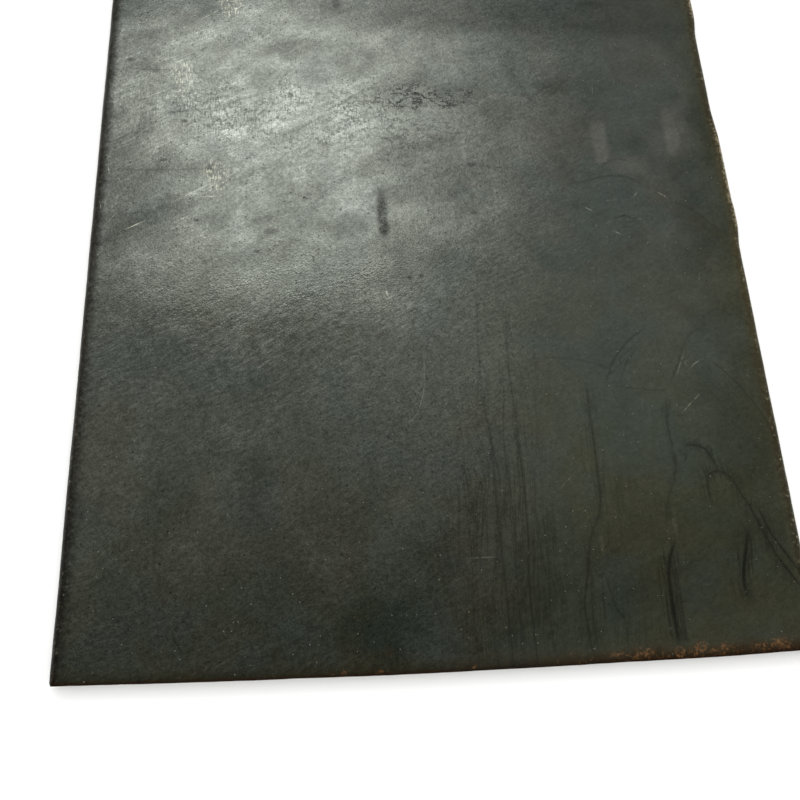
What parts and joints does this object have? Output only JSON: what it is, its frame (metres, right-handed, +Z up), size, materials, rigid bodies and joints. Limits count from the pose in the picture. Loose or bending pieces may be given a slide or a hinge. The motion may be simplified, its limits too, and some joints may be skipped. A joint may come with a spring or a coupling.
{
  "type": "steel plate",
  "caption": "Flat hot-rolled steel plate with dark mill scale, rounded rolled long edges and sheared ends, sold as raw stock to be cut, drilled or welded.",
  "frame": {"origin": "centre of the underside, on the surface that the plate lies on", "axes": "+X across the width, +Y along the length from the near end to the far end, +Z up through the thickness"},
  "size_m": [0.38, 0.9999, 0.008],
  "materials": {
    "mill_scale_steel": "satin"
  },
  "bodies": {
    "root": {"plate": "mill_scale_steel"}
  },
  "joints": []
}
